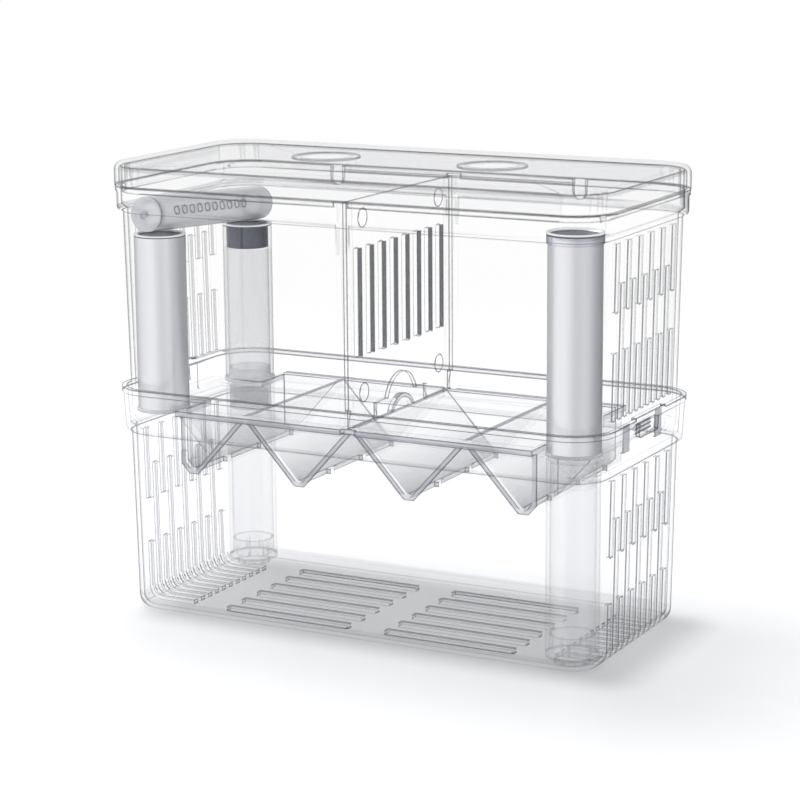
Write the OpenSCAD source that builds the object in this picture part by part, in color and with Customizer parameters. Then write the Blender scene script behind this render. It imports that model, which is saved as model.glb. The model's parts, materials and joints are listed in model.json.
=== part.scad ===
// Two-storey clear fish breeding box.
// The lower box takes the fry, the upper box nests in its collar and holds the parent fish,
// and a tray of V troughs hangs between them so that the young fall through.
// Millimetres, +Z up, origin at the middle of the underside, +X along the length.

/* [Plan] */
// Length of the lid, the longest size of the box
lid_length = 205; // [190:1:240]
// Width of the lid
lid_width = 97; // [92:1:120]
// Plan radius of the lid's corners
corner_radius = 17; // [16.5:0.1:19]
// Wall of the moulded boxes and the lid
wall = 1.6; // [1.2:0.1:1.8]
// Gap between pieces that lift past each other
lift_gap = 0.3; // [0.2:0.05:0.4]

/* [Lower box] */
// Height of the lower box's rim
lower_height = 88; // [84:1:110]
// Height of the widened collar below that rim
lower_collar_height = 17.6; // [16:0.2:20]
// Depth that the upper box sinks into the collar
nest_depth = 11.5; // [10:0.5:12.5]
// Side gap between the upper box's foot and the collar
nest_gap = 0.9; // [0.6:0.1:1.2]
// Width of the collar's step out from the body
lower_step = 2.1; // [1.9:0.1:2.6]
// Draft of the lower body from its collar to its base
lower_draft = 1.2; // [0.6:0.1:1.6]
// Draft of the lower collar
collar_draft = 0.75; // [0.3:0.05:1]
// Radius round the bottom edge
bottom_radius = 5; // [3.5:0.5:6]
// Stand-out of the bead round each rim
rim_bead = 0.5; // [0.3:0.1:0.6]
// Height of the bead round each rim
bead_height = 1.8; // [1.2:0.2:2.4]
// Height of the thumb lip on the rim over each latch
thumb_lip_height = 1; // [0.6:0.2:1.6]

/* [Upper box] */
// Height of the upper body from its foot to its collar
upper_body_height = 78.7; // [76:0.1:100]
// Height of the upper collar
upper_collar_height = 9.6; // [8.6:0.2:14]
// Width of the upper collar's step out from the body
upper_step = 2.2; // [1.8:0.1:2.8]
// Draft of the upper body
upper_draft = 1.4; // [0.8:0.1:1.8]
// Set-back of the upper collar from the lid's side
lid_overhang = 0.7; // [0.6:0.1:1]
// Width of the floor ledge that carries the tray
ledge_width = 4.1; // [3.5:0.1:5]
// Distance between the two suction cup notches in the back of the collar
cup_notch_spacing = 105; // [90:1:120]
// Width of a suction cup notch
cup_notch_width = 4.9; // [4.4:0.1:6]
// Depth of a suction cup notch below the rim
cup_notch_depth = 7.6; // [6:0.2:8]

/* [End slots] */
// Width of a water slot
slot_width = 2.8; // [1.6:0.2:3.4]
// Pitch of the slots in one row
slot_pitch = 10.4; // [9:0.2:11]
// Slots in the outer rows, one less in the middle row
slot_count = 6; // [4:1:6]
// Solid band left above the top row
slot_margin = 2; // [1.5:0.5:4]
// Length of the top row in the lower box
lower_top_slot = 28; // [20:1:30]
// Height that the middle row reaches in the lower box
lower_middle_slot = 53.5; // [48:0.5:60]
// Height that the bottom row reaches in the lower box
lower_bottom_slot = 22.8; // [15:0.2:30]
// Length of the top and bottom rows in the upper box
upper_short_slot = 24.3; // [18:0.1:28]
// Length of the middle row in the upper box
upper_long_slot = 48.6; // [40:0.1:54]
// Length that the bottom slots run in under the floor
floor_end_slot = 20; // [14:1:22]

/* [Floor slots] */
// Length of a long floor slot
floor_slot_length = 53; // [40:1:56]
// Width of a long floor slot
floor_slot_width = 3; // [2:0.2:3.6]
// Pitch of the long floor slots
floor_slot_pitch = 11.2; // [9:0.2:12]
// Long floor slots in each half
floor_slot_count = 6; // [4:1:6]
// Solid strip between the two halves
floor_bridge = 16; // [12:1:24]

/* [Latch] */
// Width of the latch window in the lower collar
window_width = 17; // [12:1:20]
// Height of the latch window
window_height = 5; // [4:0.2:6]
// Height of the window's middle above the upper box's foot
window_rise = 6.8; // [6:0.1:7.4]
// Bars on the snap lug
lug_bars = 3; // [2:1:4]
// Distance between the two guide posts
post_spacing = 30; // [26:1:34]
// Width of a guide post
post_width = 5.5; // [3:0.5:7]
// Height of a guide post
post_height = 10; // [8:0.5:11]

/* [Lid] */
// Height of the lid over the upper rim
lid_height = 9; // [8:0.5:12]
// Radius of the lid's top edge
lid_shoulder = 3; // [2.4:0.2:4]
// Reach of the lid's locating rib below its skirt
lid_rib_reach = 2.5; // [1.5:0.5:3.5]
// Wall of the locating rib
lid_rib_wall = 1.3; // [1:0.1:1.5]
// Radius of a feeding port's flange
port_radius = 13; // [10:0.5:15]
// Distance between the two feeding ports
port_spacing = 70; // [60:1:80]
// Set-back of the ports behind the lid's middle
port_setback = 7; // [0:1:10]
// Width of the seat that carries a port cover's flange
port_seat = 1.5; // [1:0.1:2]
// Depth of the seat
port_seat_depth = 0.9; // [0.6:0.1:1]
// Depth of the cover's dish
port_dish_depth = 3; // [2:0.5:3.5]

/* [Divider] */
// Thickness of the divider
divider_thickness = 1.6; // [1.2:0.1:2]
// Slots in the divider
divider_slots = 8; // [5:1:8]
// Width of a divider slot
divider_slot_width = 3; // [1.6:0.2:3.4]
// Length of a divider slot
divider_slot_length = 40; // [30:1:46]
// Pitch of the divider's slots
divider_slot_pitch = 9.36; // [8:0.02:9.6]
// Radius of the arched cut-out at the foot
divider_arch = 12; // [11:0.5:14]
// Wall of the guide rails for the divider
guide_wall = 1.4; // [1:0.1:1.8]
// Grip of the guide rails over the divider's edge
guide_grip = 1.5; // [1:0.1:2]
// Radius of the round ejector marks
ejector_radius = 3.5; // [2.5:0.5:4]

/* [Spawning tray] */
// V troughs across the tray
trough_count = 4; // [3:1:5]
// Pitch of the troughs
trough_pitch = 46; // [44:0.5:46.5]
// Depth of the tray from its rail to its underside
tray_depth = 24.8; // [20:0.2:28]
// Thickness of the sloping panels
tray_wall = 2; // [1.6:0.1:2.4]
// Thickness of the upright end plates
tray_end_wall = 1.6; // [1.2:0.1:2]
// Thickness of the rail
rail_thickness = 2.2; // [1.8:0.1:2.6]
// Width of a ridge's flat top
ridge_width = 2; // [1.8:0.1:2.6]
// Width of a trough's flat bottom, inside
valley_width = 2.4; // [2:0.2:4]
// Width of the slits that the fry fall through
slit_width = 1.8; // [1.2:0.1:2]
// Length of a slit
slit_length = 20; // [14:1:21]
// Slits along each trough
slit_count = 3; // [2:1:3]
// Half width of the finger grip on the middle ridge
grip_reach = 9.5; // [8:0.5:10]
// Height of the finger grip
grip_height = 6; // [5:0.5:7]
// Thickness of the finger grip
grip_wall = 1.8; // [1.4:0.1:2.2]

/* [Float tubes] */
// Outside diameter of the float tubes
tube_diameter = 19.6; // [16:0.2:20]
// Wall of the float tubes
tube_wall = 1.4; // [1:0.1:2]
// Height of the front left float tube
short_tube_height = 68; // [64:0.5:68]
// Height of the back left float tube
rear_tube_height = 63.7; // [60:0.1:64]
// Height of the front right float tube with its cap
tall_tube_height = 79.4; // [60:0.1:79.4]
// Gap between a float tube's foot and the corner wall
tube_gap = 0.4; // [0.3:0.1:0.6]
// Fit of a stopper in its tube, per side
stopper_fit = 0.05; // [0.02:0.01:0.08]
// Wall of the stoppers' skirts
stopper_wall = 1.1; // [0.8:0.1:1.5]
// Length of a stopper
stopper_length = 9; // [6:0.5:12]
// Thickness of a foot cap's flange
foot_flange = 1.2; // [1:0.1:2]
// Stand-out of a foot cap's flange and of the outer cap
foot_proud = 0.4; // [0.2:0.1:0.6]
// Length of a foot cap's spigot
spigot_length = 4; // [3:0.5:8]
// Length of the lower tubes' grey spigots
lower_spigot_length = 7; // [3:0.5:10]
// Height of the outer cap on the front right tube
outer_cap_height = 4; // [3:0.5:6]

/* [Flow tube] */
// Outside diameter of the flow tube
flow_diameter = 13.3; // [10:0.1:14]
// Wall of the flow tube
flow_wall = 1.2; // [1:0.1:1.6]
// Gap between the flow tube's ends and the box
flow_end_gap = 0.6; // [0.5:0.1:1.5]
// Holes along the flow tube
flow_holes = 10; // [6:1:12]
// Diameter of a hole
flow_hole_diameter = 2.6; // [1.5:0.1:3.2]
// Pitch of the holes
flow_hole_pitch = 5.4; // [4.2:0.1:5.6]
// Turn of the row of holes up from level
flow_hole_turn = 12; // [0:1:45]
// Thickness of the end caps
flow_cap = 1.4; // [1:0.1:2]
// Radius of the nipple on the front cap
nipple_radius = 2.2; // [1.6:0.1:3]

/* [Hidden] */
round_steps = 72;

// The plan of every shell is a core rectangle whose corners carry a revolved profile.
// A reach is a distance outwards from that core.
core_x = lid_length / 2 - corner_radius;
core_y = lid_width / 2 - corner_radius;
lid_reach = corner_radius;
upper_collar_reach = lid_reach - lid_overhang;
upper_top_reach = upper_collar_reach - upper_step;
upper_foot_reach = upper_top_reach - upper_draft;
lower_collar_reach = upper_foot_reach + nest_gap + wall;
lower_rim_reach = lower_collar_reach + collar_draft;
lower_top_reach = lower_collar_reach - lower_step;
lower_base_reach = lower_top_reach - lower_draft;

// Levels
lower_edge_z = lower_height - lower_collar_height;
seat_z = lower_height - nest_depth;
floor_z = seat_z + wall;
upper_edge_z = seat_z + upper_body_height;
upper_rim_z = upper_edge_z + upper_collar_height;
lid_top_z = upper_rim_z + lid_height;
window_z = seat_z + window_rise;

// Small shared forms
step_radius = 1.8;
foot_round = 1;
inner_round = bottom_radius - wall;
lid_inner_round = max(lid_shoulder - wall, 0.4);
seat_rib_width = 1.6;
seat_rib_turns = [22, 68];
cut = 1;

// Tray
tray_top_z = floor_z + rail_thickness;
tray_rise = tray_depth - tray_wall;
tray_run = (trough_pitch - ridge_width - valley_width) / 2;
panel_angle = atan(tray_rise / tray_run);
panel_shift = tray_wall / sin(panel_angle);
tray_half = trough_count * trough_pitch / 2;
rail_x = core_x + upper_foot_reach - wall - lift_gap;
rail_y = core_y + upper_foot_reach - wall - lift_gap;
opening_y = core_y + upper_foot_reach - wall - ledge_width;
tray_end_y = opening_y - lift_gap;
opening_x = tray_half + ridge_width / 4;

// Float tubes
tube_radius = tube_diameter / 2;
bore_radius = tube_radius - tube_wall;
stopper_radius = bore_radius - stopper_fit;
foot_radius = tube_radius + foot_proud;
function corner_shift(reach) = reach > 0 ? reach / sqrt(2) : reach;
upper_tube_shift = corner_shift(upper_foot_reach - wall - foot_radius - tube_gap);
lower_tube_shift = corner_shift(lower_base_reach - wall - tube_radius - tube_gap);
upper_tube_x = core_x + upper_tube_shift;
upper_tube_y = core_y + upper_tube_shift;
lower_tube_x = core_x + lower_tube_shift;
lower_tube_y = core_y + lower_tube_shift;
lower_foot_radius = lower_base_reach - wall - inner_round - lower_tube_shift * sqrt(2) - 0.1;
lower_foot_rise = inner_round * 0.65;
lower_tube_z = wall + lower_foot_rise;
lower_tube_height = seat_z - lift_gap - lower_tube_z;

// Corner notches of the tray and the plates under the tubes
notch_gap = 1;
notch_x = min(upper_tube_x - foot_radius, lower_tube_x - foot_radius) - notch_gap;
notch_y = min(upper_tube_y - foot_radius, lower_tube_y - foot_radius) - notch_gap;

// Divider
divider_half = core_y + upper_foot_reach - wall - lift_gap;
guide_gap = divider_thickness / 2 + lift_gap;
guide_face = divider_half - guide_grip;
divider_top_z = upper_rim_z - 0.8;
divider_shoulder_z = tray_top_z + 7;
divider_waist_z = tray_top_z + 6;
divider_tab_inner = 20;
divider_tab_outer = guide_face - lift_gap;
divider_arch_z = tray_top_z + 2.2;
divider_slot_z = tray_top_z + 25.7;

// Flow tube, which lies on the rims of the two left float tubes
flow_radius = flow_diameter / 2;
flow_bore = flow_radius - flow_wall;
flow_slope = atan((short_tube_height - rear_tube_height) / (2 * upper_tube_y));
flow_rest_y = -upper_tube_y + tube_radius;
flow_z = floor_z + short_tube_height + lift_gap + flow_radius / cos(flow_slope)
  + tan(flow_slope) * flow_rest_y;
flow_level_reach = upper_foot_reach - wall + upper_draft * 0.85;
flow_half = core_y - flow_end_gap
  + sqrt(pow(flow_level_reach, 2) - pow(flow_radius + max(upper_tube_shift, 0), 2));
flow_spigot = 4;
nipple_height = 0.8;
nipple_hole = 0.9;

// Points of an arc about [r, z], from angle a to angle b
function arc(r, z, radius, a, b, steps = 5) =
  [for (i = [0:steps]) let (t = a + (b - a) * i / steps) [r + radius * cos(t), z + radius * sin(t)]];

// Carries a profile [reach, z] round the rounded rectangle of the core
module carry_round() {
  for (turn = [0:3])
    let (sx = turn == 0 || turn == 3 ? 1 : -1, sy = turn < 2 ? 1 : -1)
      translate([sx * core_x, sy * core_y, 0])
        rotate([0, 0, 90 * turn])
          rotate_extrude(angle = 90, $fn = round_steps)
            children();
  for (half_turn = [0, 180])
    rotate([0, 0, half_turn]) {
      translate([core_x, core_y, 0])
        rotate([90, 0, 0])
          linear_extrude(2 * core_y)
            children();
      translate([-core_x, core_y, 0])
        rotate([90, 0, 90])
          linear_extrude(2 * core_x)
            children();
    }
}

module core_plate(z, thickness) {
  translate([-core_x, -core_y, z])
    cube([2 * core_x, 2 * core_y, thickness]);
}

// A box given by its two opposite corners
module block(low, high) {
  translate(low)
    cube(high - low);
}

module disc(radius, height) {
  cylinder(r = radius, h = height, $fn = round_steps);
}

// One row of upright slots through both end walls
module slot_row(count, low_z, high_z, inner_x, outer_x) {
  for (side = [-1, 1], i = [0:count - 1])
    let (y = (i - (count - 1) / 2) * slot_pitch)
      block([side > 0 ? inner_x : -outer_x, y - slot_width / 2, low_z],
            [side > 0 ? outer_x : -inner_x, y + slot_width / 2, high_z]);
}

// Lower box

module lower_profile() {
  polygon(concat(
    [[0, 0]],
    arc(lower_base_reach - bottom_radius, bottom_radius, bottom_radius, -90, 0),
    [[lower_top_reach, lower_edge_z]],
    arc(lower_collar_reach - step_radius, lower_edge_z + step_radius, step_radius, -90, 0, 4),
    [[lower_rim_reach, lower_height - bead_height - rim_bead],
     [lower_rim_reach + rim_bead, lower_height - bead_height],
     [lower_rim_reach + rim_bead, lower_height],
     [lower_rim_reach - wall, lower_height],
     [lower_collar_reach - wall, lower_edge_z + step_radius + wall],
     [lower_top_reach - wall, lower_edge_z + wall]],
    arc(lower_base_reach - wall - inner_round, bottom_radius, inner_round, 0, -90),
    [[0, wall]]
  ));
}

// Ribs in the corners that carry the upper box's foot
module seat_ribs() {
  for (sx = [-1, 1], sy = [-1, 1], turn = seat_rib_turns)
    translate([sx * core_x, sy * core_y, 0])
      mirror([sx < 0 ? 1 : 0, 0, 0])
        mirror([0, sy < 0 ? 1 : 0, 0])
          rotate([0, 0, turn])
            block([lower_top_reach - wall, -seat_rib_width / 2, lower_edge_z + step_radius],
                  [lower_collar_reach - wall / 2, seat_rib_width / 2, seat_z]);
}

module thumb_lips() {
  half = (post_spacing - post_width / 2) / 2;
  for (side = [-1, 1])
    let (inner = side * (core_x + lower_rim_reach - wall), outer = side * (core_x + lower_rim_reach + rim_bead))
      block([min(inner, outer), -half, lower_height - cut], [max(inner, outer), half, lower_height + thumb_lip_height]);
}

module lower_box() {
  end_x = core_x + lower_rim_reach + cut;
  color([0.88, 0.93, 0.95, 0.45])
    difference() {
      union() {
        carry_round() lower_profile();
        core_plate(0, wall);
        seat_ribs();
        thumb_lips();
      }
      slot_row(slot_count, lower_edge_z - slot_margin - lower_top_slot, lower_edge_z - slot_margin,
               core_x, end_x);
      slot_row(slot_count - 1, -cut, lower_middle_slot, core_x + lower_base_reach - floor_end_slot, end_x);
      slot_row(slot_count, -cut, lower_bottom_slot, core_x + lower_base_reach - floor_end_slot, end_x);
      for (side = [-1, 1], i = [0:floor_slot_count - 1])
        let (y = (i - (floor_slot_count - 1) / 2) * floor_slot_pitch,
             x = side > 0 ? floor_bridge / 2 : -floor_bridge / 2 - floor_slot_length)
          block([x, y - floor_slot_width / 2, -cut],
                [x + floor_slot_length, y + floor_slot_width / 2, wall + cut]);
      for (side = [-1, 1])
        translate([side * (core_x + lower_collar_reach), 0, window_z])
          cube([4 * wall, window_width, window_height], center = true);
    }
}

// Upper box

module upper_profile() {
  polygon(concat(
    [[0, seat_z]],
    arc(upper_foot_reach - foot_round, seat_z + foot_round, foot_round, -90, 0, 3),
    [[upper_top_reach, upper_edge_z]],
    arc(upper_collar_reach - step_radius, upper_edge_z + step_radius, step_radius, -90, 0, 4),
    [[upper_collar_reach, upper_rim_z - bead_height - rim_bead],
     [upper_collar_reach + rim_bead, upper_rim_z - bead_height],
     [upper_collar_reach + rim_bead, upper_rim_z],
     [upper_collar_reach - wall, upper_rim_z],
     [upper_collar_reach - wall, upper_edge_z + step_radius + wall / 2],
     [upper_top_reach - wall, upper_edge_z + wall / 2],
     [upper_foot_reach - wall, floor_z],
     [0, floor_z]]
  ));
}

// Cross-shaped way through the floor, which leaves a ledge and four corner plates
module floor_opening(grow, low_z, high_z) {
  block([-notch_x - grow, -opening_y, low_z], [notch_x + grow, opening_y, high_z]);
  block([-opening_x, -notch_y - grow, low_z], [opening_x, notch_y + grow, high_z]);
}

module guide_rails() {
  body_face = core_y + upper_foot_reach - wall / 4;
  collar_face = core_y + upper_collar_reach - wall / 2;
  for (side_y = [0, 1], side_x = [0, 1])
    mirror([side_x, 0, 0])
      mirror([0, side_y, 0]) {
        block([guide_gap, guide_face, tray_top_z + cut],
              [guide_gap + guide_wall, body_face, divider_top_z]);
        block([guide_gap, guide_face, upper_edge_z],
              [guide_gap + guide_wall, collar_face, divider_top_z]);
      }
}

// Round-bottomed notches in the back of the collar, which take the necks of suction cups
module cup_notches() {
  radius = cup_notch_width / 2;
  low_z = max(upper_rim_z - cup_notch_depth, upper_edge_z + step_radius);
  inner_y = core_y + upper_collar_reach - wall - cut / 2;
  for (side = [-1, 1])
    translate([side * cup_notch_spacing / 2, inner_y, low_z + radius]) {
      rotate([-90, 0, 0]) disc(radius, wall + 3 * cut);
      block([-radius, 0, 0], [radius, wall + 3 * cut, upper_collar_height]);
    }
}

// Snap lug with bars across it, between two guide posts
module latch_side() {
  wall_x = core_x + upper_foot_reach - wall / 2;
  lug_x = core_x + lower_collar_reach - wall - lift_gap;
  lug_half_y = window_width / 2 - cut;
  lug_height = window_height - cut;
  bar = lug_height / (2 * lug_bars - 1);
  block([wall_x, -lug_half_y, window_z - lug_height / 2],
        [lug_x - lift_gap, lug_half_y, window_z + lug_height / 2]);
  for (i = [0:lug_bars - 1])
    let (z = window_z - lug_height / 2 + 2 * i * bar)
      block([wall_x, -lug_half_y, z], [lug_x, lug_half_y, z + bar]);
  for (side = [-1, 1])
    translate([0, side * post_spacing / 2, 0])
      block([wall_x, -post_width / 2, seat_z], [lug_x, post_width / 2, seat_z + post_height]);
}

module upper_box() {
  slot_low_z = lower_height + slot_margin;
  slot_high_z = upper_edge_z - slot_margin;
  end_x = core_x + upper_collar_reach + cut;
  color([0.9, 0.94, 0.96, 0.4]) {
    difference() {
      union() {
        carry_round() upper_profile();
        core_plate(seat_z, wall);
        guide_rails();
      }
      floor_opening(lift_gap, seat_z - cut, floor_z + cut);
      slot_row(slot_count, slot_high_z - upper_short_slot, slot_high_z, core_x, end_x);
      slot_row(slot_count - 1, slot_low_z, slot_low_z + upper_long_slot, core_x, end_x);
      slot_row(slot_count, slot_low_z, slot_low_z + upper_short_slot, core_x, end_x);
      cup_notches();
    }
    latch_side();
    mirror([1, 0, 0]) latch_side();
  }
}

// Lid and its feeding ports

module lid_profile() {
  under_z = lid_top_z - wall;
  rib_outer = upper_collar_reach - wall - lift_gap;
  // How far the rib stands past the start of the inner round
  past = rib_outer - (lid_reach - wall - lid_inner_round);
  polygon(concat(
    [[0, under_z], [rib_outer - lid_rib_wall, under_z],
     [rib_outer - lid_rib_wall, upper_rim_z - lid_rib_reach],
     [rib_outer, upper_rim_z - lid_rib_reach]],
    past < 0 ? [[rib_outer, under_z]] : [],
    arc(lid_reach - wall - lid_inner_round, under_z - lid_inner_round, lid_inner_round,
        past < 0 ? 90 : acos(min(past / lid_inner_round, 0.9)), 0, 3),
    [[lid_reach - wall, upper_rim_z], [lid_reach, upper_rim_z]],
    arc(lid_reach - lid_shoulder, lid_top_z - lid_shoulder, lid_shoulder, 0, 90),
    [[0, lid_top_z]]
  ));
}

module at_port(side) {
  translate([side * port_spacing / 2, port_setback, 0])
    children();
}

module lid() {
  bore = port_radius - port_seat + lift_gap;
  collar_depth = port_dish_depth + wall;
  notch = guide_gap + guide_wall + lift_gap;
  color([0.92, 0.95, 0.97, 0.4])
    difference() {
      union() {
        carry_round() lid_profile();
        core_plate(lid_top_z - wall, wall);
        for (side = [-1, 1])
          at_port(side)
            translate([0, 0, lid_top_z - collar_depth])
              disc(bore + wall, collar_depth - wall / 2);
      }
      for (side = [-1, 1])
        at_port(side) {
          translate([0, 0, lid_top_z - port_seat_depth])
            disc(port_radius + lift_gap, port_seat_depth + cut);
          translate([0, 0, lid_top_z - collar_depth - cut])
            disc(bore, collar_depth + 2 * cut);
        }
      block([-notch, -lid_width, upper_rim_z - lid_rib_reach - cut],
            [notch, lid_width, upper_rim_z - cut / 2]);
    }
}

module port_cover(side) {
  plug = port_radius - port_seat;
  dish = plug - port_dish_depth / 2;
  thin = wall * 0.8;
  top = port_dish_depth + thin;
  color([0.9, 0.93, 0.95, 0.5])
    at_port(side)
      translate([0, 0, lid_top_z - top]) {
        rotate_extrude($fn = round_steps)
          polygon([[0, 0], [dish, 0], [plug, thin], [plug, top - port_seat_depth],
                   [port_radius, top - port_seat_depth], [port_radius, top], [plug - thin, top],
                   [dish - thin, thin], [0, thin]]);
        disc(port_seat, thin * 1.6);
      }
}

module port_cover_left() { port_cover(-1); }
module port_cover_right() { port_cover(1); }

// Divider

module divider_half_outline() {
  arch_foot = sqrt(pow(divider_arch, 2) - pow(divider_waist_z - divider_arch_z, 2));
  arch_from = asin((divider_waist_z - divider_arch_z) / divider_arch);
  polygon(concat(
    [[0, divider_top_z], [divider_half, divider_top_z], [divider_half, divider_shoulder_z],
     [divider_tab_outer, divider_shoulder_z], [divider_tab_outer, tray_top_z],
     [divider_tab_inner, tray_top_z], [divider_tab_inner, divider_waist_z], [arch_foot, divider_waist_z]],
    arc(0, divider_arch_z, divider_arch, arch_from, 90, 10)
  ));
}

module divider() {
  slots_half = (divider_slots - 1) / 2;
  color([0.86, 0.9, 0.93, 0.5]) {
    difference() {
      rotate([90, 0, 90])
        translate([0, 0, -divider_thickness / 2])
          linear_extrude(divider_thickness)
            union() {
              divider_half_outline();
              mirror([1, 0]) divider_half_outline();
            }
      for (i = [0:divider_slots - 1])
        let (y = (i - slots_half) * divider_slot_pitch)
          block([-divider_thickness, y - divider_slot_width / 2, divider_slot_z],
                [divider_thickness, y + divider_slot_width / 2, divider_slot_z + divider_slot_length]);
    }
    for (side = [-1, 1], z = [tray_top_z + 12, divider_top_z - 7])
      translate([0, side * (divider_half - 12), z])
        rotate([0, 90, 0])
          disc(ejector_radius, divider_thickness / 2 + lift_gap / 2);
  }
}

// Spawning tray

function valley_x(i) = -tray_half + trough_pitch * (i + 0.5);

// Underside of the troughs, from the right end to the left
function tray_underside() =
  let (half = valley_width / 2 + panel_shift - tray_wall / tan(panel_angle),
       apex_z = tray_top_z - (panel_shift - ridge_width / 2) * tan(panel_angle))
    [for (k = [0:trough_count - 1])
      let (x = valley_x(trough_count - 1 - k), last = k == trough_count - 1)
        each concat(
          [[x + half, tray_top_z - tray_depth], [x - half, tray_top_z - tray_depth]],
          last ? [] : [[x - trough_pitch / 2, apex_z]]
        )];

module tray_sheet_profile() {
  end_x = tray_half - ridge_width / 2 + panel_shift - rail_thickness / tan(panel_angle);
  polygon(concat(
    [[-rail_x, tray_top_z]],
    [for (i = [0:trough_count - 1])
      each [[valley_x(i) - trough_pitch / 2 + ridge_width / 2, tray_top_z],
            [valley_x(i) - valley_width / 2, tray_top_z - tray_rise],
            [valley_x(i) + valley_width / 2, tray_top_z - tray_rise],
            [valley_x(i) + trough_pitch / 2 - ridge_width / 2, tray_top_z]]],
    [[rail_x, tray_top_z], [rail_x, tray_top_z - rail_thickness], [end_x, tray_top_z - rail_thickness]],
    tray_underside(),
    [[-end_x, tray_top_z - rail_thickness], [-rail_x, tray_top_z - rail_thickness]]
  ));
}

module tray_solid_profile() {
  end_x = tray_half - ridge_width / 2 + panel_shift;
  polygon(concat([[-end_x, tray_top_z], [end_x, tray_top_z]], tray_underside()));
}

// Runs an X-Z profile along Y over plus and minus half
module along_y(half) {
  translate([0, half, 0])
    rotate([90, 0, 0])
      linear_extrude(2 * half)
        children();
}

module tray_plan(inset) {
  low_z = tray_top_z - tray_depth - cut;
  block([-notch_x + inset, -tray_end_y + inset, low_z], [notch_x - inset, tray_end_y - inset, tray_top_z + cut]);
  block([-rail_x - cut, -notch_y + inset, low_z], [rail_x + cut, notch_y - inset, tray_top_z + cut]);
}

module finger_grip() {
  radius = (pow(grip_reach, 2) + pow(grip_height, 2)) / (2 * grip_height);
  translate([-ridge_width / 2, 0, tray_top_z])
    intersection() {
      translate([0, 0, grip_height - radius])
        rotate([0, 90, 0])
          difference() {
            disc(radius, ridge_width);
            translate([0, 0, -cut]) disc(radius - grip_wall, ridge_width + 2 * cut);
          }
      translate([0, -radius, -tray_wall / 4])
        cube([ridge_width, 2 * radius, 2 * radius]);
    }
}

module spawning_tray() {
  slit_step = 2 * tray_end_y / slit_count;
  guide_notch = guide_gap + guide_wall + lift_gap;
  color([0.8, 0.84, 0.87, 0.6])
    difference() {
      union() {
        intersection() {
          along_y(tray_end_y) tray_sheet_profile();
          tray_plan(0);
        }
        intersection() {
          along_y(tray_end_y) tray_solid_profile();
          difference() {
            tray_plan(0);
            tray_plan(tray_end_wall);
          }
        }
        for (side = [0, 1])
          mirror([0, side, 0])
            block([-notch_x, tray_end_y - tray_end_wall, tray_top_z - rail_thickness], [notch_x, rail_y, tray_top_z]);
        finger_grip();
      }
      for (i = [0:trough_count - 1], j = [0:slit_count - 1])
        translate([valley_x(i), (j - (slit_count - 1) / 2) * slit_step, tray_top_z - tray_depth])
          cube([slit_width, slit_length, 2 * tray_wall + cut], center = true);
      for (side = [0, 1])
        mirror([0, side, 0])
          block([-guide_notch, guide_face - lift_gap, tray_top_z - rail_thickness - cut],
                [guide_notch, rail_y + cut, tray_top_z + cut]);
    }
}

// Float tubes

module tube(height, outer, thickness) {
  difference() {
    disc(outer, height);
    translate([0, 0, -cut]) disc(outer - thickness, height + 2 * cut);
  }
}

// Stopper sunk into a tube's mouth at z = 0
module stopper() {
  sunk = 0.5;
  rotate_extrude($fn = round_steps)
    polygon([[0, -2.5 * sunk], [stopper_radius - stopper_wall, -1.6 * sunk], [stopper_radius, -sunk],
             [stopper_radius, -sunk - stopper_length], [stopper_radius - stopper_wall, -sunk - stopper_length],
             [stopper_radius - stopper_wall, -sunk - 2 * stopper_wall], [0, -sunk - 2 * stopper_wall]]);
}

// Cap over a tube's mouth, with its top at z = 0 and a dished face
module outer_cap() {
  seat = outer_cap_height / 2;
  skirt = tube_radius + stopper_fit;
  rotate_extrude($fn = round_steps)
    polygon([[0, -seat + 0.6], [tube_radius - 1, -seat + 1], [tube_radius - 0.4, 0],
             [foot_radius + stopper_fit, 0], [foot_radius + stopper_fit, -outer_cap_height],
             [skirt, -outer_cap_height], [skirt, -seat], [stopper_radius, -seat],
             [stopper_radius, -stopper_length], [stopper_radius - stopper_wall, -stopper_length],
             [stopper_radius - stopper_wall, -seat - 0.6], [0, -seat - 0.6]]);
}

// Foot cap whose flange starts at z = 0, with its spigot up inside the tube
module foot_cap(flange_radius, spigot) {
  disc(flange_radius, foot_flange);
  translate([0, 0, foot_flange / 2])
    tube(foot_flange / 2 + spigot, stopper_radius, stopper_wall);
}

module at_upper(sx, sy) {
  translate([sx * upper_tube_x, sy * upper_tube_y, floor_z])
    children();
}

module at_lower(sx, sy) {
  translate([sx * lower_tube_x, sy * lower_tube_y, lower_tube_z])
    children();
}

module upper_tube(sx, sy, height) {
  color([0.78, 0.8, 0.83, 0.8])
    at_upper(sx, sy)
      translate([0, 0, foot_flange])
        tube(height - foot_flange, tube_radius, tube_wall);
}

module upper_stopper(sx, sy, height) {
  color([0.3, 0.32, 0.35])
    at_upper(sx, sy)
      translate([0, 0, height])
        stopper();
}

module upper_foot(sx, sy) {
  color([0.75, 0.78, 0.8])
    at_upper(sx, sy)
      foot_cap(foot_radius, spigot_length);
}

module lower_tube(sx, sy) {
  color([0.86, 0.89, 0.91, 0.6])
    at_lower(sx, sy)
      translate([0, 0, foot_flange])
        tube(lower_tube_height - foot_flange, tube_radius, tube_wall);
}

module lower_stopper(sx, sy) {
  color([0.6, 0.63, 0.66])
    at_lower(sx, sy)
      translate([0, 0, lower_tube_height])
        stopper();
}

module lower_foot(sx, sy) {
  color([0.6, 0.63, 0.66])
    at_lower(sx, sy) {
      foot_cap(tube_radius, lower_spigot_length);
      translate([0, 0, -lower_foot_rise])
        disc(lower_foot_radius, lower_foot_rise + foot_flange / 2);
    }
}

module float_tube_front_left() { upper_tube(-1, -1, short_tube_height); }
module float_stopper_front_left() { upper_stopper(-1, -1, short_tube_height); }
module float_foot_front_left() { upper_foot(-1, -1); }

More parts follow.
